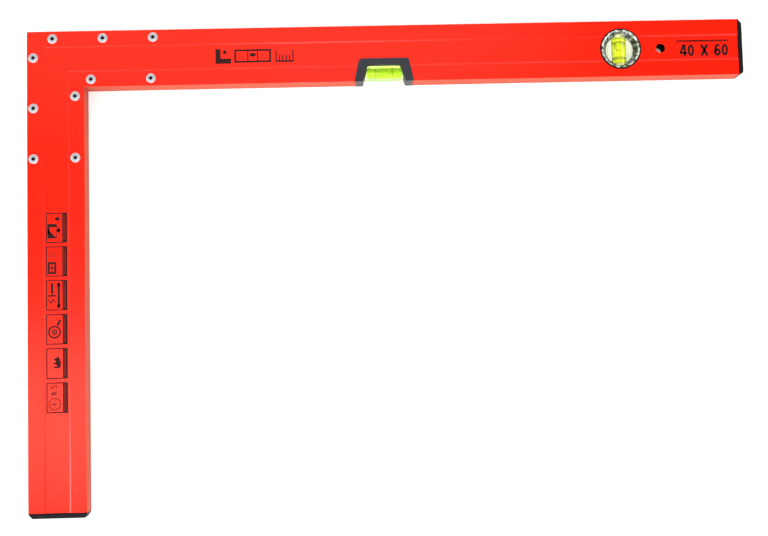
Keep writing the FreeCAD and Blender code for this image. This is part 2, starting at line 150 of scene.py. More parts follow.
def ranged(tree, pattern, low, high):
    """The middle part of a noise, stretched from low to high."""
    node = add_node(tree, "ShaderNodeMapRange")
    node.inputs["From Min"].default_value = 0.3
    node.inputs["From Max"].default_value = 0.7
    node.inputs["To Min"].default_value = low
    node.inputs["To Max"].default_value = high
    tree.links.new(pattern, node.inputs["Value"])
    return node.outputs["Result"]


def two_tone(tree, pattern, first, second):
    """A colour between two, by a pattern from 0 to 1."""
    node = add_node(tree, "ShaderNodeMix", data_type="RGBA")
    factor, first_socket, second_socket = node.inputs[0], node.inputs[6], node.inputs[7]
    tree.links.new(pattern, factor)
    feed(tree, first, first_socket)
    feed(tree, second, second_socket)
    return node.outputs[2]


def chosen(tree, mask, outside, inside):
    """A value that depends on a mask: the first where the mask is 0, the second where it is 1."""
    node = add_node(tree, "ShaderNodeMapRange")
    feed(tree, outside, node.inputs["To Min"])
    feed(tree, inside, node.inputs["To Max"])
    tree.links.new(mask, node.inputs["Value"])
    return node.outputs["Result"]


def relief(tree, shader, *layers):
    """Bump from several (pattern, depth) layers, one after the other."""
    normal = None
    for pattern, depth in layers:
        bump = add_node(tree, "ShaderNodeBump")
        bump.inputs["Distance"].default_value = depth
        tree.links.new(pattern, bump.inputs["Height"])
        if normal is not None:
            tree.links.new(normal, bump.inputs["Normal"])
        normal = bump.outputs["Normal"]
    tree.links.new(normal, shader.inputs["Normal"])


def dress(material, *nodes):
    """Gives CAD nodes a finish. Only the material changes: the mesh stays as packed."""
    for name in nodes:
        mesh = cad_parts[name].data
        mesh.materials.clear()
        mesh.materials.append(material)
    print(material.name, "on", ", ".join(nodes))


# %% [markdown]
# ## Red enamel of the arms
#
# The profiles are extruded, so their faces carry faint straight lines along the arm, and
# the red coat over them is smooth with a soft sheen. The lines follow the long side of each arm,
# so each arm has its own material: the same recipe with its cells stretched along X or along Y.
# A second, finer noise gives the slight orange peel of sprayed paint. The narrow side faces get
# a darker, duller red, which is painted shade for the little lamp light that they catch, and they
# mirror less. The cut walls of holes and the hollow inside are bare metal, painted dark grey as
# the shade inside the hollow. Two boxes in the tool's own frame decide which finish a place gets.

# %% Enamel for one direction
enamel_red = (0.84, 0.0088, 0.0010)
enamel_shade = (0.80, 0.0078, 0.0009)
# The narrow side faces get a darker red: painted shade for the little lamp light they catch.
side_painted_shade_red = (0.38, 0.060, 0.030)
# The bare metal is dark grey: painted shade inside the hollow and the holes.
bare_metal_painted_shade = (0.16, 0.16, 0.17)
bare_grain_painted_shade = (0.10, 0.10, 0.11)
enamel_gloss = 0.5
side_gloss = 0.04
side_roughness = 0.5


def between(tree, value, low, high):
    """1 where a value lies between two limits, else 0."""
    return calculated(tree, "COMPARE", value, (low + high) / 2, (high - low) / 2)


def inside_box(tree, low, high):
    """1 where a place lies between two corners, else 0."""
    place = add_node(tree, "ShaderNodeTexCoord")
    split = add_node(tree, "ShaderNodeSeparateXYZ")
    tree.links.new(place.outputs["Object"], split.inputs[0])
    in_x, in_y, in_z = (between(tree, split.outputs[axis], low[axis], high[axis])
                        for axis in range(3))
    return calculated(tree, "MULTIPLY", calculated(tree, "MULTIPLY", in_x, in_y), in_z)


def arm_enamel(name, line_cell, low, high):
    """Bare metal in painted shade in the box from low to high, enamel over and under it, darker red
    as painted shade beside it.
    """
    material, tree, shader = new_finish(name)
    bare = inside_box(tree, low, high)
    broad = inside_box(tree, low - Vector((0, 0, arm_width)), high + Vector((0, 0, arm_width)))
    cloud = grain(tree, (60 * mm, 60 * mm, 60 * mm))
    peel = grain(tree, (0.9 * mm, 0.9 * mm, 0.9 * mm), detail=3.0)
    lines = grain(tree, line_cell, detail=4.0)
    paint = two_tone(tree, broad, side_painted_shade_red, two_tone(tree, cloud, enamel_red, enamel_shade))
    metal_tone = two_tone(tree, grain(tree, line_cell), bare_metal_painted_shade, bare_grain_painted_shade)
    gloss = chosen(tree, broad, side_gloss, enamel_gloss)
    roughness = chosen(tree, broad, side_roughness, ranged(tree, lines, 0.20, 0.25))
    tree.links.new(two_tone(tree, bare, paint, metal_tone), shader.inputs["Base Color"])
    tree.links.new(bare, shader.inputs["Metallic"])
    tree.links.new(gloss, shader.inputs["Specular IOR Level"])
    tree.links.new(roughness, shader.inputs["Roughness"])
    relief(tree, shader, (peel, 0.006 * mm), (lines, 0.012 * mm))
    return material


across_margin = 0.3 * mm
depth_margin = 0.9 * mm
dress(arm_enamel("enamel_along_long_arm", (150 * mm, 0.7 * mm, 0.7 * mm),
                 long_low + Vector((0, across_margin, depth_margin)),
                 long_high - Vector((0, across_margin, depth_margin))), "long_arm_profile")
dress(arm_enamel("enamel_along_short_arm", (0.7 * mm, 150 * mm, 0.7 * mm),
                 short_low + Vector((across_margin, 0, depth_margin)),
                 short_high - Vector((across_margin, 0, depth_margin))), "short_arm_profile")

# %% [markdown]
# ## Metals
#
# The corner plates are plain rolled sheet, seen only through gaps. The rivets are soft bright
# aluminium. The broken end of the steel mandrel deep in each bore is painted nearly black, a
# painted shade, and so are the rolled lip and the bore of each rivet.
# Metals differ mostly in roughness, so noise drives that first.

# %% Sheet, rivets and mandrels
def metal(name, colour, shade, cell, rough, depth, metallic=1.0):
    """Marks of one cell size vary the colour, the roughness and the relief together."""
    material, tree, shader = new_finish(name, Metallic=metallic)
    marks = grain(tree, cell, detail=4.0)
    tree.links.new(two_tone(tree, marks, colour, shade), shader.inputs["Base Color"])
    tree.links.new(ranged(tree, marks, *rough), shader.inputs["Roughness"])
    relief(tree, shader, (marks, depth))
    return material


rolled_sheet = metal("rolled_aluminium", (0.70, 0.71, 0.72), (0.60, 0.61, 0.63),
                     cell=(20 * mm, 0.4 * mm, 0.4 * mm), rough=(0.32, 0.48), depth=0.01 * mm)
rivet_metal = metal("rivet_aluminium", (0.42, 0.44, 0.46), (0.30, 0.32, 0.35),
                    cell=(0.8 * mm, 0.8 * mm, 0.8 * mm), rough=(0.40, 0.56), depth=0.02 * mm,
                    metallic=0.55)
# Nearly black: painted shade deep in the bores.
bore_painted_shade_metal = metal("mandrel_steel_painted_shade", (0.02, 0.02, 0.021), (0.006, 0.006, 0.007),
                      cell=(0.4 * mm, 0.4 * mm, 0.4 * mm), rough=(0.45, 0.65), depth=0.03 * mm)
dress(rolled_sheet, "front_corner_plate", "back_corner_plate")
dress(bore_painted_shade_metal, "front_rivet_mandrels", "back_rivet_mandrels")

# %% [markdown]
# ## Black plastics
#
# The end caps and the frame of the level vial are moulded. The caps are dull with a coarse grain,
# and the frame is finer and a little blue. Real moulds leave a texture of tenths of a
# millimetre, which shows as a soft, broken highlight along the edges.

# %% Moulded plastics
def moulded(name, colour, shade, cell, rough, depth, specular):
    """Wide patches vary the colour and the roughness, and a fine skin gives the relief."""
    material, tree, shader = new_finish(name, Specular_IOR_Level=specular)
    skin = grain(tree, (cell, cell, cell), detail=3.0)
    patches = grain(tree, (12 * mm, 12 * mm, 12 * mm))
    tree.links.new(two_tone(tree, patches, colour, shade), shader.inputs["Base Color"])
    tree.links.new(ranged(tree, patches, *rough), shader.inputs["Roughness"])
    relief(tree, shader, (skin, depth))
    return material


cap_plastic = moulded("cap_plastic", (0.004, 0.004, 0.0045), (0.007, 0.007, 0.008),
                      cell=0.45 * mm, rough=(0.34, 0.44), depth=0.02 * mm, specular=0.024)
frame_plastic = moulded("frame_plastic", (0.018, 0.018, 0.024), (0.024, 0.024, 0.032),
                        cell=0.35 * mm, rough=(0.38, 0.50), depth=0.02 * mm, specular=0.2)
dress(cap_plastic, "long_arm_end_cap", "short_arm_end_cap")
dress(frame_plastic, "level_vial_front_frame", "level_vial_back_frame")

# %% [markdown]
# ## Clear plastic and liquid
#
# Acrylic, the bezels and the green liquid are all glass to a renderer: full transmission and
# the index of the real material. Such a shader also blocks the lamps, which would leave
# the floor under a clear vial black. A Light Path node gives lamp rays a tinted Transparent
# shader instead, so that light reaches what lies behind. The liquid of a spirit level is
# fluorescent: its dye scatters a part of the light, so the transmission stays under one, and it
# sends back more green than it gets, for which a weak emission stands: a painted glow that
# shines without any lamp. The acrylic block of the level vial carries a weak green painted glow
# too.

# %% Clear finishes
acrylic_index = 1.49
spirit_index = 1.36


def let_lamps_through(material, shader, lamp_tint):
    """Lamp rays pass the surface with a tint instead of being stopped by it."""
    tree = material.node_tree
    for_lamps = add_node(tree, "ShaderNodeBsdfTransparent")
    for_lamps.inputs["Color"].default_value = (*lamp_tint, 1.0)
    ray = add_node(tree, "ShaderNodeLightPath")
    choice = add_node(tree, "ShaderNodeMixShader")
    tree.links.new(ray.outputs["Is Shadow Ray"], choice.inputs["Fac"])
    tree.links.new(shader.outputs["BSDF"], choice.inputs[1])
    tree.links.new(for_lamps.outputs["BSDF"], choice.inputs[2])
    tree.links.new(choice.outputs["Shader"], tree.nodes["Material Output"].inputs["Surface"])


def clear(name, tint, lamp_tint, index, roughest, cell, depth,
          painted_glow=0.0, painted_glow_tint=None, passing=1.0):
    """A clear body with faint ripples and a painted glow. passing is the share of light that it
    doesn't scatter.
    """
    material, tree, shader = new_finish(name, tint, Transmission_Weight=passing, IOR=index)
    ripples = grain(tree, cell)
    tree.links.new(ranged(tree, ripples, 0.0, roughest), shader.inputs["Roughness"])
    relief(tree, shader, (ripples, depth))
    if painted_glow:
        shader.inputs["Emission Color"].default_value = (*(painted_glow_tint or tint), 1.0)
        shader.inputs["Emission Strength"].default_value = painted_glow
    let_lamps_through(material, shader, lamp_tint)
    return material


plumb_tint = (0.97, 0.98, 0.93)
spirit_cell = (6 * mm, 6 * mm, 6 * mm)
# The acrylic of the level vial has a weak green painted glow.
level_acrylic = clear("level_vial_acrylic", (0.80, 0.93, 0.48), (0.97, 0.99, 0.92), acrylic_index,
                      roughest=0.03, cell=(4 * mm, 4 * mm, 4 * mm), depth=0.01 * mm,
                      painted_glow=0.05, painted_glow_tint=(0.40, 1.0, 0.02))
plumb_acrylic = clear("plumb_vial_acrylic", plumb_tint, (0.98, 0.99, 0.95), acrylic_index,
                      roughest=0.04, cell=(0.9 * mm, 30 * mm, 30 * mm), depth=0.04 * mm)
level_spirit = clear("level_spirit", (0.47, 0.58, 0.012), (0.88, 0.96, 0.45), spirit_index,
                     roughest=0.02, cell=spirit_cell, depth=0.0, painted_glow=0.02, passing=0.72)
plumb_spirit = clear("plumb_spirit", (0.74, 0.80, 0.03), (0.96, 0.98, 0.78), spirit_index,
                     roughest=0.02, cell=spirit_cell, depth=0.0, painted_glow=0.06, passing=0.85)
dress(level_acrylic, "level_vial_block", "level_vial_plug")
dress(plumb_acrylic, "plumb_vial_block", "plumb_vial_plug")

# %% [markdown]
# ## Frosted sides of the plumb vial
#
# Only the tube across the round block is polished. The flat parts beside it have fine upright
# moulding lines and pass on a milky light. One material does both: a box round the tube keeps
# full transmission, and outside it a part of the light is scattered by a pale colour.

# %% Frost beside the tube
tube_half_width = 6.4 * mm
frost_share = 0.75
frost_pale = (0.97, 0.98, 0.90)
frost_shade = (0.72, 0.74, 0.56)

block_low, block_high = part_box("plumb_vial_block")
block_middle = (block_low.x + block_high.x) / 2
frost_tree = plumb_acrylic.node_tree
frost_shader = frost_tree.nodes["Principled BSDF"]
on_tube = inside_box(frost_tree, Vector((block_middle - tube_half_width, block_low.y - mm, -mm)),
                     Vector((block_middle + tube_half_width, block_high.y + mm, front_face)))
upright_lines = ranged(frost_tree, grain(frost_tree, (0.9 * mm, 60 * mm, 60 * mm)), 0.0, 1.0)
frost_colour = two_tone(frost_tree, upright_lines, frost_pale, frost_shade)
frost_tree.links.new(chosen(frost_tree, on_tube, 1.0 - frost_share, 1.0),
                     frost_shader.inputs["Transmission Weight"])
frost_tree.links.new(two_tone(frost_tree, on_tube, frost_colour, plumb_tint),
                     frost_shader.inputs["Base Color"])
print("tube from", round((block_middle - tube_half_width) / mm, 1), "to",
      round((block_middle + tube_half_width) / mm, 1), "mm")

# %% [markdown]
# ## Bezel of the plumb vial
#
# The two bezels are clear mouldings: a flat lip on the face, and a steep funnel down to the
# vial. Their colours are painted light and shade. The lip is painted pale, a painted sheen, with
# dark flecks. The funnel is painted nearly black, the painted shade of the hollow of the arm that
# shows through it, with grey flecks as painted glints. The outer edge is a painted shadow line,
# dark and without gloss.
# A pattern by radius gives the three zones. The distance from the vial's own axis comes from a
# Mapping node that moves the origin there.

# %% Zones by radius
bezel_low, bezel_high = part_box("plumb_vial_front_bezel")
bezel_middle = (bezel_low + bezel_high) / 2
bezel_radius = (bezel_high.x - bezel_low.x) / 2
lip_inner_edge = bezel_radius - 2.8 * mm
lip_outer_edge = bezel_radius - 1.3 * mm
bezel_lamp_tint = (0.80, 0.84, 0.80)

bezel_acrylic, bezel_tree, bezel_shader = new_finish("bezel_acrylic", IOR=acrylic_index)
let_lamps_through(bezel_acrylic, bezel_shader, bezel_lamp_tint)
bezel_place = add_node(bezel_tree, "ShaderNodeTexCoord")
bezel_centring = add_node(bezel_tree, "ShaderNodeMapping")
bezel_centring.inputs["Location"].default_value = (-bezel_middle.x, -bezel_middle.y, 0.0)
flatten = add_node(bezel_tree, "ShaderNodeVectorMath", operation="MULTIPLY")
flatten.inputs[1].default_value = (1.0, 1.0, 0.0)
distance = add_node(bezel_tree, "ShaderNodeVectorMath", operation="LENGTH")
bezel_tree.links.new(bezel_place.outputs["Object"], bezel_centring.inputs["Vector"])
bezel_tree.links.new(bezel_centring.outputs["Vector"], flatten.inputs[0])
bezel_tree.links.new(flatten.outputs["Vector"], distance.inputs[0])
on_lip = between(bezel_tree, distance.outputs["Value"], lip_inner_edge, lip_outer_edge)
in_funnel = calculated(bezel_tree, "LESS_THAN", distance.outputs["Value"], lip_inner_edge)

# %% What each zone passes and mirrors
funnel_passing = 0.3
lip_passing = 0.2
bezel_gloss = 0.5

funnel_share = calculated(bezel_tree, "MULTIPLY", in_funnel, funnel_passing)
passing = calculated(bezel_tree, "MULTIPLY_ADD", on_lip, lip_passing, funnel_share)
edge_free = calculated(bezel_tree, "ADD", in_funnel, on_lip)
gloss = calculated(bezel_tree, "MULTIPLY", edge_free, bezel_gloss)
bezel_tree.links.new(passing, bezel_shader.inputs["Transmission Weight"])
bezel_tree.links.new(gloss, bezel_shader.inputs["Specular IOR Level"])

# %% Colour of each zone
# Painted light and shade of a clear moulding: a pale painted sheen on the lip, painted shade of the
# hollow in the funnel with painted grey glints, and a painted shadow line at the outer edge.
lip_painted_sheen = (0.66, 0.70, 0.65)
lip_grey = (0.02, 0.03, 0.02)
edge_painted_shadow = (0.006, 0.008, 0.006)
funnel_painted_shade = (0.010, 0.012, 0.011)
funnel_painted_glint = (0.30, 0.33, 0.30)

lip_flecks = ranged(bezel_tree, grain(bezel_tree, (3 * mm, 3 * mm, 8 * mm)), -0.3, 1.3)
funnel_flecks = ranged(bezel_tree, grain(bezel_tree, (2.4 * mm, 2.4 * mm, 6 * mm)), -0.9, 1.1)
lip_colour = two_tone(bezel_tree, lip_flecks, lip_painted_sheen, lip_grey)
funnel_colour = two_tone(bezel_tree, funnel_flecks, funnel_painted_shade, funnel_painted_glint)
around_lip = two_tone(bezel_tree, in_funnel, edge_painted_shadow, funnel_colour)
bezel_tree.links.new(two_tone(bezel_tree, on_lip, around_lip, lip_colour),
                     bezel_shader.inputs["Base Color"])
bezel_haze = ranged(bezel_tree, grain(bezel_tree, (2 * mm, 2 * mm, 2 * mm)), 0.10, 0.22)
bezel_tree.links.new(bezel_haze, bezel_shader.inputs["Roughness"])
dress(bezel_acrylic, "plumb_vial_front_bezel", "plumb_vial_back_bezel")
print("bezel radius", round(bezel_radius / mm, 2), "mm")

# %% [markdown]
# ## Paint of the gauge rings
#
# The rings that the bubble is read against are matt paint on the wall of the bore, nearly black
# with a touch of the green around them.

# %% Ring paint
ring_paint, ring_tree, ring_shader = new_finish("ring_paint", (0.008, 0.012, 0.004))
ring_speckle = grain(ring_tree, (0.3 * mm, 0.3 * mm, 0.3 * mm))
ring_tree.links.new(ranged(ring_tree, ring_speckle, 0.4, 0.6), ring_shader.inputs["Roughness"])

# %% [markdown]
# ## Turning a profile
#
# Rivets, and the liquid in a round bore, are bodies of revolution: a chain of points in a
# half plane is spun round an axis. `bmesh.ops.spin` does this, and with `use_merge` its last
# step is joined to its first. What is left to do is to merge the points on the axis and to
# recalculate the normals, because a spin may come out inside out.

# %% Helpers for new meshes
spin_steps = 48
spin_merge = 1e-7
cad_merge = 1e-6


def spun(profile, closed):
    """A new bmesh: the profile of (radius, height) points spun round Z."""
    shape = bmesh.new()
    points = [shape.verts.new((radius, 0.0, height)) for radius, height in profile]
    chain = [shape.edges.new(pair) for pair in zip(points, points[1:])]
    if closed:
        chain.append(shape.edges.new((points[-1], points[0])))
    bmesh.ops.spin(shape, geom=points + chain, cent=(0, 0, 0), axis=(0, 0, 1),
                   angle=2 * math.pi, steps=spin_steps, use_merge=True, use_duplicate=False)
    bmesh.ops.remove_doubles(shape, verts=shape.verts, dist=spin_merge)
    bmesh.ops.recalc_face_normals(shape, faces=shape.faces)
    return shape


def add_to(shape, other):
    """Adds one bmesh to another and frees it."""
    carrier = bpy.data.meshes.new("carrier")
    other.to_mesh(carrier)
    other.free()
    shape.from_mesh(carrier)
    bpy.data.meshes.remove(carrier)


def add_piece(name, shape, material, smooth_angle=35.0):
    """Makes a finished object at the origin from a bmesh, riding on the tool's one body."""
    mesh = bpy.data.meshes.new(name)
    shape.to_mesh(mesh)
    shape.free()
    piece = bpy.data.objects.new(name, mesh)
    bpy.context.collection.objects.link(piece)
    mesh.materials.append(material)
    mesh.shade_smooth()
    mesh.set_sharp_from_angle(angle=math.radians(smooth_angle))
    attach(piece, "root")
    print(name, "has", len(mesh.polygons), "faces")
    return piece


def solids_of(node):
    """Low and high corners of each separate solid in a CAD node, from a merged copy of its mesh."""
    shape = bmesh.new()
    shape.from_mesh(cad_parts[node].data)
    bmesh.ops.remove_doubles(shape, verts=shape.verts, dist=cad_merge)
    unseen = set(shape.verts)
    boxes = []
    while unseen:
        stack = [unseen.pop()]
        island = []
        while stack:
            vert = stack.pop()
            island.append(vert.co.copy())
            linked = {edge.other_vert(vert) for edge in vert.link_edges} & unseen
            unseen -= linked
            stack.extend(linked)
        low = Vector([min(co[i] for co in island) for i in range(3)])
        high = Vector([max(co[i] for co in island) for i in range(3)])
        boxes.append((low, high))
    shape.free()
    return sorted(boxes, key=lambda box: (round(box[0].x, 4), round(box[0].y, 4)))


# %% [markdown]
# ## Domed rivets
#
# A blind rivet has a thin flange that runs up into a low dome, a small lip rolled in at the
# bore, a plain shank through the wall, and a bulb that its mandrel has pulled out behind it.
# The CAD rivets are straight cones. Here the dome is an arc of an ellipse, worked out
# by a formula, and the bulb a half wave. Each rivet is a copy of one mesh, moved to the centre
# of a CAD rivet, so the new pieces stand exactly where the solids are.

# %% Rivet profile
head_radius = 4.0 * mm
head_height = 1.0 * mm
flange_height = 0.22 * mm
bore_radius = 1.12 * mm
lip_radius = 1.5 * mm
lip_drop = 0.28 * mm
shank_radius = 2.0 * mm
grip = 4.2 * mm
bulb_radius = 2.9 * mm
bulb_end_radius = 1.9 * mm
bulb_length = 2.7 * mm
bulb_start = 0.25
arc_steps = 8
middle_margin = 5 * mm


def rivet_profile():
    """The closed outline of a rivet, heads up, as (radius, height) points."""
    start = (bore_radius, head_height - lip_drop)
    lip_turn = math.acos(lip_radius / head_radius)
    dome = []
    for i in range(arc_steps + 1):
        turn = lip_turn * (1 - i / arc_steps)
        radius = head_radius * math.cos(turn)
        share = math.sin(turn) / math.sin(lip_turn)
        dome.append((radius, flange_height + (head_height - flange_height) * share))
    shank = [(head_radius, 0.0), (shank_radius, 0.0), (shank_radius, -grip)]
    bulb = []
    for i in range(arc_steps + 1):
        share = i / arc_steps
        swell = math.sin(math.pi * (bulb_start + (1 - bulb_start) * share))
        radius = bulb_end_radius + (bulb_radius - bulb_end_radius) * swell
        bulb.append((radius, -grip - bulb_length * share))
    return [start] + dome + shank + bulb + [(bore_radius, -grip - bulb_length)]


# %% Set the rivets
def rivet_set(name, node):
    """All rivets of one node, heads up on the front face or turned over on the back face."""
    shape = bmesh.new()
    for low, high in solids_of(node):
        single = spun(rivet_profile(), closed=True)
        centre = (low + high) / 2
        on_front = high.z > middle_height + middle_margin
        flip = Matrix.Identity(4) if on_front else Matrix.Rotation(math.pi, 4, "X")
        height = front_face if on_front else back_face
        place = Matrix.Translation((centre.x, centre.y, height)) @ flip
        for face in single.faces:
            # Faces within lip_radius of the axis, the rolled lip and the bore, get the nearly black
            # mandrel finish: painted shade in the bore.
            face.material_index = int(face.calc_center_median().xy.length < lip_radius)
        bmesh.ops.transform(single, matrix=place, verts=single.verts)
        add_to(shape, single)
    piece = add_piece(name, shape, rivet_metal, smooth_angle=50.0)
    piece.data.materials.append(bore_painted_shade_metal)
    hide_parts(node)


for side in ("front", "back"):
    for arm in ("long_arm", "short_arm"):
        rivet_set(f"domed_{arm}_{side}_rivets", f"{arm}_{side}_rivets")

# %% [markdown]
# ## Liquid that wets its bore
#
# In CAD the liquid stays a little clear of the bore. Rendered like that, the thin gap of
# air would mirror the light and the vial would look like a silver rod. So the visible liquid is
# spun again, a hair wider than the bore: a ray then meets liquid before it leaves the
# acrylic, and bends as it does in the real vial. The bubble is a closed shell inside with
# its faces turned inwards, blunt at both ends, and it lies against the side that faces up.

# %% Liquid and bubble
cad_liquid_gap = 0.17 * mm
wetting = 0.02 * mm
bubble_film = 0.12 * mm
bubble_bluntness = 0.75


def bubble_shell(length, width):
    """A stretched ball along Z with blunt ends, its faces turned inwards."""
    bubble = bmesh.new()
    bmesh.ops.create_uvsphere(bubble, u_segments=32, v_segments=24, radius=width / 2)
    blunt = Matrix.Diagonal((1.0, 1.0, bubble_bluntness, 1.0))
    bmesh.ops.transform(bubble, matrix=blunt, verts=bubble.verts)
    stretch = length / 2 - bubble_bluntness * width / 2
    for side in (-1, 1):
        cap = [vert for vert in bubble.verts if vert.co.z * side > 1e-7]
        bmesh.ops.translate(bubble, verts=cap, vec=(0, 0, side * stretch))
    bmesh.ops.reverse_faces(bubble, faces=bubble.faces)
    return bubble


def vial_liquid(name, node, spirit, along, rise, bubble_length, bubble_width, bubble_shift):
    """Liquid of one vial, whose bore runs along X or Y and is wider by rise in its middle."""
    low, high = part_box(node)
    axis = "XY".index(along)
    quarter = math.pi / 2
    turn = Matrix.Rotation(quarter, 4, "Y") if along == "X" else Matrix.Rotation(-quarter, 4, "X")
    half = (high[axis] - low[axis]) / 2 + cad_liquid_gap + wetting
    widest = middle_height - low.z + cad_liquid_gap + wetting
    centre = (low + high) / 2
    centre.z = middle_height
    rim = [(widest - rise * share * share, half * share)
           for share in (step / arc_steps - 1 for step in range(2 * arc_steps + 1))]
    shape = spun([(0.0, -half)] + rim + [(0.0, half)], closed=False)
    bmesh.ops.transform(shape, matrix=Matrix.Translation(centre) @ turn, verts=shape.verts)
    bubble = bubble_shell(bubble_length, bubble_width)
    lift = Vector((0.0, 0.0, widest - bubble_width / 2 - bubble_film))
    lift[axis] = bubble_shift
    bmesh.ops.transform(bubble, matrix=Matrix.Translation(centre + lift) @ turn, verts=bubble.verts)
    add_to(shape, bubble)
    piece = add_piece(name, shape, spirit)
    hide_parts(node)


vial_liquid("level_vial_liquid", "level_vial_fluid", level_spirit, "X", rise=0.4 * mm,
            bubble_length=11.0 * mm, bubble_width=7.2 * mm, bubble_shift=0.0)
vial_liquid("plumb_vial_liquid", "plumb_vial_fluid", plumb_spirit, "Y", rise=0.3 * mm,
            bubble_length=8.4 * mm, bubble_width=6.2 * mm, bubble_shift=4.0 * mm)

# %% [markdown]
# ## Painted rings
#
# The CAD rings are slivers half a millimetre wide. The painted bands of the real vial are wider,
# with edges that the round wall magnifies. Each band is spun as a thin sleeve at the place and
# radius of its CAD ring, just inside the liquid's skin.

# %% Bands round the bores
band_thickness = 0.08 * mm


def ring_bands(name, node, along, width):
    """The two bands of one vial, for a bore along X or Y."""
    turn = Matrix.Rotation(math.pi / 2, 4, "Y" if along == "X" else "X")
    shape = bmesh.new()
    for low, high in solids_of(node):
        outer = (high.z - low.z) / 2
        inner = outer - band_thickness
        half = width / 2
        band = spun([(inner, -half), (outer, -half), (outer, half), (inner, half)], closed=True)
        place = Matrix.Translation((low + high) / 2) @ turn
        bmesh.ops.transform(band, matrix=place, verts=band.verts)
        add_to(shape, band)
    piece = add_piece(name, shape, ring_paint)
    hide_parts(node)


ring_bands("level_vial_ring_bands", "level_vial_gauge_rings", "X", width=1.2 * mm)
ring_bands("plumb_vial_ring_bands", "plumb_vial_gauge_rings", "Y", width=0.8 * mm)

# %% [markdown]
# ## Screen print
#
# The print on the arms is a thin film of dark ink in the sunk band. It is real geometry here: flat
# outlines from `create_grid` and `create_circle`, cut open by an inset where only a
# line is wanted, and then given the thickness of the ink. The height of the band is measured by a
# ray that falls on the arm, so the film lies on the metal. The signs are plain generic ones:
# a right angle, a bubble, a ruler, and small tool symbols.

# %% Inks and flat shapes
ink_film = 0.03 * mm
ray_clearance = 5 * mm
round_corners = 32


def ink(name, colour, thin_colour):
    """Ink that covers unevenly: thin_colour is what shows where it lies thin."""
    material, tree, shader = new_finish(name, Specular_IOR_Level=0.12)
    patches = grain(tree, (1.6 * mm, 1.6 * mm, 1.6 * mm), detail=5.0)
    tree.links.new(two_tone(tree, ranged(tree, patches, 0.0, 1.0), colour, thin_colour),
                   shader.inputs["Base Color"])
    tree.links.new(ranged(tree, patches, 0.42, 0.6), shader.inputs["Roughness"])
    return material


dark_ink = ink("dark_ink", (0.010, 0.004, 0.004), (0.030, 0.006, 0.005))
thin_ink = ink("thin_ink", (0.05, 0.005, 0.003), (0.13, 0.006, 0.004))
DARK, THIN = 0, 1


def tone_of(made, tone):
    """The faces of a new flat shape, which get one of the two inks."""
    faces = {face for vert in made["verts"] for face in vert.link_faces}
    for face in faces:
        face.material_index = tone
    return list(faces)


def flat_place(centre, angle, width, height):
    """The matrix that makes a shape of unit size this wide and high, turned, at its centre."""
    return (Matrix.Translation((centre[0] * mm, centre[1] * mm, 0))
            @ Matrix.Rotation(angle, 4, "Z") @ Matrix.Diagonal((width * mm, height * mm, 1, 1)))


def bar(sheet, centre, size, angle=0.0, tone=DARK):
    """A filled rectangle. centre and size are (right, up) in millimetres."""
    place = flat_place(centre, angle, size[0], size[1])
    made = bmesh.ops.create_grid(sheet, x_segments=1, y_segments=1, size=0.5, matrix=place)
    return tone_of(made, tone)


def disc(sheet, centre, width, height=None, angle=0.0):
    """A filled ellipse, or a circle when no height is given."""
    place = flat_place(centre, angle, width, height or width)
    made = bmesh.ops.create_circle(sheet, cap_ends=True, radius=0.5, segments=round_corners,
                                   matrix=place)
    return tone_of(made, DARK)


def open_up(sheet, faces, line):
    """Leaves only a border of the given width, in millimetres, of filled faces."""
    bmesh.ops.inset_region(sheet, faces=faces, thickness=line * mm, use_boundary=True,
                           use_even_offset=True)
    bmesh.ops.delete(sheet, geom=faces, context="FACES")


def film_height(place):
    """Height of the arm's surface at a place, from a ray that falls on the CAD meshes."""
    for name in ("long_arm_profile", "short_arm_profile"):
        start = Vector((place.x, place.y, front_face + ray_clearance))
        hit, point, _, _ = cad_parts[name].ray_cast(start, Vector((0, 0, -1)))
        if hit and point.z > middle_height:
            return point.z
    raise ValueError("nothing to print on")


def printed(name, sheet, place):
    """Gives a flat print its film thickness and lays it on the arm, centred on a place."""
    bmesh.ops.solidify(sheet, geom=sheet.faces[:], thickness=ink_film)
    bmesh.ops.recalc_face_normals(sheet, faces=sheet.faces)
    lowest = min(vert.co.z for vert in sheet.verts)
    down = film_height(place) - lowest
    bmesh.ops.translate(sheet, verts=sheet.verts, vec=(place.x, place.y, down))
    piece = add_piece(name, sheet, dark_ink)
    piece.data.materials.append(thin_ink)


# %% [markdown]
# ## Figures
#
# The figures are bold and narrow. A text curve could make them, but its thin strokes close up
# when an offset makes them bold. So each figure is drawn from a few strokes, on a field ten
# units high with its origin in the middle, and a helper places the strokes at any size.

# %% Figures as flat strokes
figure_units = 10.0
figure_stroke = 2.1


def stroke(sheet, origin, scale, angle, place, size, lean=0.0):
    """A bar of a figure. Its place and size are in the figure's own units."""
    spot = Matrix.Rotation(angle, 2) @ (Vector(place) * scale) + Vector(origin)
    bar(sheet, spot, (size[0] * scale, size[1] * scale), angle + lean)


def bowl(sheet, origin, scale, angle, place, size):
    """A closed round part of a figure."""
    spot = Matrix.Rotation(angle, 2) @ (Vector(place) * scale) + Vector(origin)
    faces = disc(sheet, spot, size[0] * scale, size[1] * scale, angle)
    open_up(sheet, faces, figure_stroke * scale)


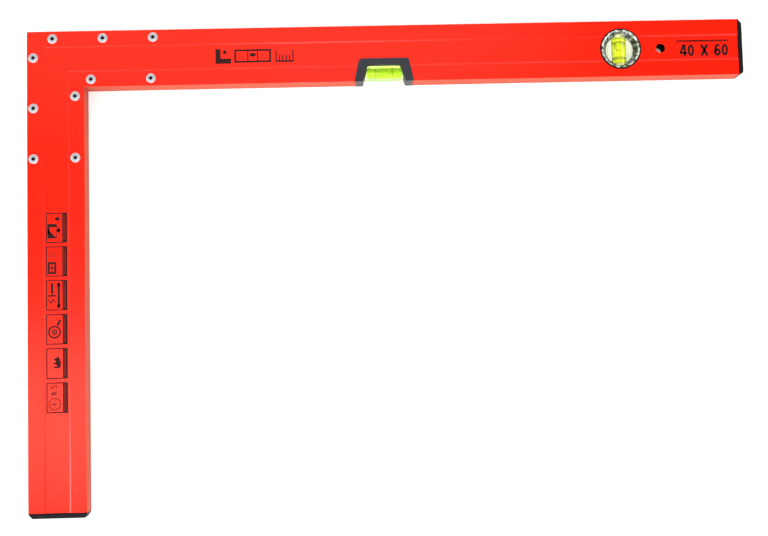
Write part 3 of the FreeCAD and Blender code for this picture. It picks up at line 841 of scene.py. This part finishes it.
def figure(sheet, sign, origin, height, angle=0.0):
    """One of the signs 0, 4, 5, 6, X and point, height millimetres tall."""
    scale = height / figure_units
    spot = (sheet, origin, scale, angle)
    if sign == "0":
        bowl(*spot, (0, 0), (5.7, 10.0))
    elif sign == "4":
        stroke(*spot, (1.1, 0), (figure_stroke, 10.0))
        stroke(*spot, (0, -2.2), (6.4, 1.9))
        stroke(*spot, (-1.0, 1.5), (1.9, 7.6), lean=-0.38)
    elif sign == "5":
        for up in (4.2, 0.4, -4.2):
            stroke(*spot, (0, up), (5.8, 1.7))
        stroke(*spot, (-2.0, 2.3), (1.8, 4.0))
        stroke(*spot, (2.0, -1.9), (1.8, 4.4))
    elif sign == "6":
        bowl(*spot, (0, -1.9), (5.8, 6.4))
        stroke(*spot, (-1.4, 0.8), (2.1, 6.4), lean=-0.12)
        stroke(*spot, (0.5, 3.9), (3.4, 2.0), lean=0.25)
    elif sign == "X":
        for lean in (0.5, -0.5):
            stroke(*spot, (0, 0), (2.3, 11.0), lean=lean)
    elif sign == "point":
        stroke(*spot, (0, -4.1), (1.7, 1.8))


# %% [markdown]
# ## The size field
#
# Near its end the long arm says how long the two arms are, in plain figures inside a faint
# frame, with a row of fine ticks above them.

# %% Size field
field_along = 571.0 * mm
field_width, field_height = 46.5, 17.0
tick_row_up = 5.1
tick_pitch = 1.25

field = bmesh.new()
open_up(field, bar(field, (0, 0.3), (field_width, field_height), tone=THIN), 0.3)
bar(field, (-0.9, tick_row_up + 0.9), (field_width - 3.0, 1.0), tone=THIN)
tick_count = int((field_width - 3.0) / tick_pitch)
for i in range(tick_count + 1):
    tall = 2.2 if i % 4 == 0 else 1.5
    right = (i - tick_count / 2) * tick_pitch - 0.9
    bar(field, (right, tick_row_up + 1.0 - tall / 2), (0.8, tall))
for sign, right in (("4", -17.6), ("0", -11.2), ("X", 0.3), ("6", 11.4), ("0", 17.8)):
    figure(field, sign, (right, -2.4), 10.2)
printed("size_field", field, on_long_arm(field_along, arm_width / 2))

# %% [markdown]
# ## A plain sign
#
# Left of the level vial stands a plain sign of a level: a right angle, a vial with its bubble
# between two lines, and the start of a ruler.

# %% Level sign
sign = bmesh.new()
bar(sign, (-30.6, 0.0), (4.4, 12.6))
bar(sign, (-24.0, -4.1), (8.8, 4.4))
disc(sign, (-25.0, 3.6), 3.4)
open_up(sign, bar(sign, (-1.5, 0.0), (31.0, 11.4)), 1.7)
bar(sign, (-5.6, 0.0), (1.1, 8.0))
bar(sign, (2.6, 0.0), (1.1, 8.0))
disc(sign, (-1.5, 0.9), 5.6, 3.4)
bar(sign, (25.2, -5.0), (15.4, 1.5))
for i in range(6):
    tall = 8.6 if i % 5 == 0 else 4.6
    bar(sign, (18.1 + 2.84 * i, -4.3 + tall / 2), (1.2, tall))
printed("level_sign", sign, on_long_arm(190.5 * mm, arm_width / 2))

# %% [markdown]
# ## Six small signs
#
# The short arm carries a column of small signs, each in a fine frame with a shaded strip down
# its right side. A function makes the frame, and each sign adds its own few shapes,
# with places in millimetres from the middle of the open part.

# %% Sign frames
sign_first = 165.8 * mm
sign_pitch = 28.1 * mm
sign_width, sign_height = 17.6, 25.2
strip_width = 4.6
frame_line = 1.0
open_middle = -strip_width / 2


def sign_frame():
    """A new sheet with the frame and its strip: two lines, a thin field and its dark ends."""
    sheet = bmesh.new()
    open_up(sheet, bar(sheet, (0, 0), (sign_width, sign_height)), frame_line)
    strip_middle = (sign_width - strip_width) / 2
    for side in (-1, 1):
        bar(sheet, (strip_middle + side * (strip_width / 2 - frame_line), 0),
            (frame_line, sign_height - 2 * frame_line))
    inner_width = strip_width - 3.2 * frame_line
    bar(sheet, (strip_middle, 0), (inner_width, sign_height - 5.0), tone=THIN)
    for side in (-1, 1):
        bar(sheet, (strip_middle, side * (sign_height / 2 - 1.6)), (inner_width, 1.9))
    return sheet


def half_bar(sheet, centre, size):
    """A right triangle: the lower left half of a filled rectangle."""
    faces = bar(sheet, centre, size)
    parts = faces + [edge for face in faces for edge in face.edges]
    parts += [vert for face in faces for vert in face.verts]
    bmesh.ops.bisect_plane(sheet, geom=parts, plane_co=(centre[0] * mm, centre[1] * mm, 0),
                           plane_no=(size[1], size[0], 0), clear_outer=True)


def right_angle_sign(sheet):
    disc(sheet, (open_middle + 3.1, 7.4), 4.4, 3.2)
    bar(sheet, (open_middle - 1.2, 1.8), (7.8, 3.0))
    bar(sheet, (open_middle - 4.2, -2.4), (1.8, 5.6))
    half_bar(sheet, (open_middle - 1.2, -4.6), (7.8, 8.8))
    bar(sheet, (open_middle + 2.5, -3.4), (0.7, 10.4))
    bar(sheet, (open_middle + 3.9, -2.2), (3.0, 1.4))
    disc(sheet, (open_middle + 4.3, -2.2), 3.0)
    bar(sheet, (open_middle + 4.3, -2.2), (0.9, 7.0))


def ring_and_plate_sign(sheet):
    open_up(sheet, disc(sheet, (open_middle - 1.0, 5.6), 4.6), 0.7)
    open_up(sheet, bar(sheet, (open_middle - 1.4, -5.4), (7.2, 10.2)), 1.8)
    bar(sheet, (open_middle - 1.4, -5.4), (4.4, 1.0))
    bar(sheet, (open_middle - 1.4, -5.4), (1.0, 7.4))
    bar(sheet, (open_middle + 2.9, -0.6), (0.4, 21.0), tone=THIN)
    for i in range(9):
        bar(sheet, (open_middle + 4.5, 6.6 - 2.1 * i), (0.9, 1.1), tone=THIN)


def tools_sign(sheet):
    bar(sheet, (open_middle - 1.4, 6.0), (2.2, 8.4))
    bar(sheet, (open_middle - 1.4, 1.0), (1.0, 3.4))
    bar(sheet, (open_middle - 1.4, -0.4), (7.2, 1.4))
    for i, lean in enumerate((0.8, -0.8, 0.8)):
        bar(sheet, (open_middle - 3.4 + 1.9 * i, -5.0), (0.9, 5.0), angle=lean)
    bar(sheet, (open_middle + 4.0, 0.0), (2.0, 18.0))
    for up in (9.0, -9.0):
        disc(sheet, (open_middle + 4.0, up), 3.0, 3.6)


def lens_sign(sheet):
    open_up(sheet, disc(sheet, (open_middle + 0.4, -2.3), 10.8), 1.5)
    open_up(sheet, disc(sheet, (open_middle + 0.4, -2.3), 4.8), 1.1)
    disc(sheet, (open_middle + 0.4, -2.3), 1.8)
    bar(sheet, (open_middle + 4.0, 5.4), (2.1, 5.4), angle=-0.45)


def drop_sign(sheet):
    disc(sheet, (open_middle + 3.4, 0.8), 4.0, 10.0, angle=0.12)
    for right, up in ((0.9, 3.2), (0.5, 0.0), (1.2, -3.2)):
        disc(sheet, (open_middle + right, up), 2.8, 1.8)


def cross_hair_sign(sheet):
    open_up(sheet, disc(sheet, (open_middle + 0.4, -5.2), 10.2), 0.8)
    bar(sheet, (open_middle + 0.4, -5.2), (6.4, 0.7))
    bar(sheet, (open_middle + 0.4, -5.2), (0.7, 6.4))
    for sign, up in (("0", 3.4), ("point", 6.2), ("5", 9.0)):
        figure(sheet, sign, (open_middle - 0.2, up), 4.8, angle=math.radians(90))


# %% Print the six signs
sign_makers = (right_angle_sign, ring_and_plate_sign, tools_sign, lens_sign, drop_sign,
               cross_hair_sign)
for number, make in enumerate(sign_makers):
    sheet = sign_frame()
    make(sheet)
    printed(make.__name__, sheet, on_short_arm(sign_first + number * sign_pitch, arm_width / 2))

# %% [markdown]
# ## Floor, light and camera
#
# The tool lies on a pale floor. Its flat faces look straight up, so whatever hangs overhead
# shows in the enamel as a pale veil. Four wide softboxes therefore stand low round the tool and
# light it from the sides. The small ones do one thing each: the overhead one fills the inside
# corner, the ceiling and sheen ones lay a faint warm veil on the left of the long arm and low on
# the short arm, and the edge and ridge ones draw a fine line along a slope of the sunk band.
# The camera looks down, a little from the near left.

# %% Floor and room
floor_half_side = 12.0
room_light = 0.03

floor_shape = bmesh.new()
bmesh.ops.create_grid(floor_shape, x_segments=1, y_segments=1, size=floor_half_side)
floor_mesh = bpy.data.meshes.new("floor")
floor_shape.to_mesh(floor_mesh)
floor_shape.free()
floor = bpy.data.objects.new("floor", floor_mesh)
bpy.context.collection.objects.link(floor)
floor_paper, floor_tree, floor_shader = new_finish("floor_paper", Roughness=0.9,
                                                   Specular_IOR_Level=0.1)
fibre = grain(floor_tree, (0.05, 0.05, 0.05), detail=4.0)
floor_tree.links.new(two_tone(floor_tree, fibre, (0.93, 0.93, 0.935), (0.95, 0.95, 0.95)),
                     floor_shader.inputs["Base Color"])
floor_mesh.materials.append(floor_paper)

room = bpy.data.worlds.new("studio")
room.use_nodes = True
room_shade = room.node_tree.nodes["Background"]
room_shade.inputs["Color"].default_value = (1.0, 1.0, 1.0, 1.0)
room_shade.inputs["Strength"].default_value = room_light
bpy.context.scene.world = room
bpy.context.scene.view_settings.view_transform = "Standard"
bpy.context.scene.view_settings.look = "None"


# %% Softboxes
def softbox(name, place, size, watts, target=(0.0, 0.0, 0.0), colour=(1.0, 1.0, 1.0), depth=None):
    """A flat lamp that faces its target. It is square unless a depth is given."""
    light = bpy.data.lights.new(name, type="AREA")
    light.color = colour
    light.shape = "RECTANGLE"
    light.size = size
    light.size_y = depth or size
    light.energy = watts
    holder = bpy.data.objects.new(name, light)
    holder.location = place
    holder.rotation_euler = (Vector(target) - Vector(place)).to_track_quat("-Z", "Y").to_euler()
    bpy.context.collection.objects.link(holder)


warm = (1.0, 0.95, 0.74)
softbox("near_softbox", (0.1, -2.4, 1.1), 3.2, 124, depth=1.4)
softbox("left_softbox", (-2.7, -0.4, 0.95), 3.0, 98, depth=1.3)
softbox("right_softbox", (2.4, 0.2, 1.1), 3.0, 60, depth=1.4)
softbox("far_softbox", (-0.1, 2.6, 1.0), 3.0, 70, depth=1.3)
softbox("overhead_softbox", (-0.06, -0.06, 1.3), 0.32, 6.6, target=(-0.1, 0.0, 0.0))
softbox("ceiling_softbox", (-0.25, 0.64, 1.25), 1.2, 1.2, target=(-0.25, 0.62, 0.0),
        colour=warm, depth=0.5)
softbox("sheen_softbox", (-0.54, -0.16, 1.2), 0.26, 0.62, target=(-0.28, -0.15, 0.02),
        colour=warm)
softbox("edge_softbox", (-1.64, -0.36, 1.2), 0.36, 3.4, target=(-0.27, -0.18, 0.02))
softbox("ridge_softbox", (0.66, -0.32, 1.2), 0.3, 0.5, target=(0.24, 0.19, 0.02))

# %% Camera
camera_place = Vector((-0.0355, -0.0964, 1.1381))
camera_aim = Vector((-0.0073, -0.0034, 0.019))
camera_roll = math.radians(-1.324)
camera_lens = 63.3

back = (camera_place - camera_aim).normalized()
right = Vector((math.cos(camera_roll), math.sin(camera_roll), 0.0))
right = (right - back * right.dot(back)).normalized()
up = back.cross(right)
camera_data = bpy.data.cameras.new("camera")
camera_data.lens = camera_lens
camera_data.clip_start = 0.01
camera_data.clip_end = 50.0
camera = bpy.data.objects.new("camera", camera_data)
camera_turn = Matrix((right, up, back)).transposed().to_4x4()
camera.matrix_world = Matrix.Translation(camera_place) @ camera_turn
bpy.context.collection.objects.link(camera)
bpy.context.scene.camera = camera
